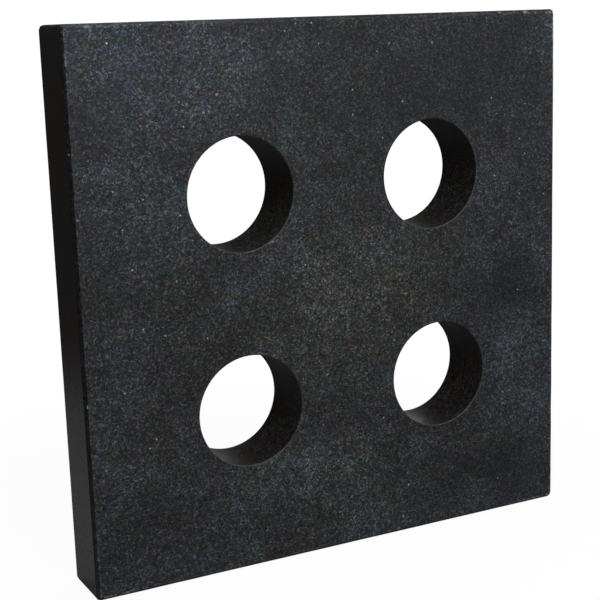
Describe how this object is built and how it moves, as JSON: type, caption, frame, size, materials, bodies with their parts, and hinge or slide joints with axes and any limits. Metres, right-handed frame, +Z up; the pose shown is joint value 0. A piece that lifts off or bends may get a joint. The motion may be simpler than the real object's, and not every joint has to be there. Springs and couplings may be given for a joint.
{
  "type": "granite square",
  "caption": "Square slab of black granite with lapped narrow faces and bored grip holes, stood on edge as a reference for right angles.",
  "frame": {"origin": "middle of the foot, the narrow face that the square stands on", "axes": "+Z up, +X to the right across the front broad face, +Y through the slab from the front broad face to the rear one"},
  "size_m": [0.3, 0.036, 0.3],
  "materials": {
    "black_granite": "broad faces and bores ground and matt, narrow faces lapped to a low sheen"
  },
  "bodies": {
    "root": {"square_body": "black_granite"}
  },
  "joints": []
}
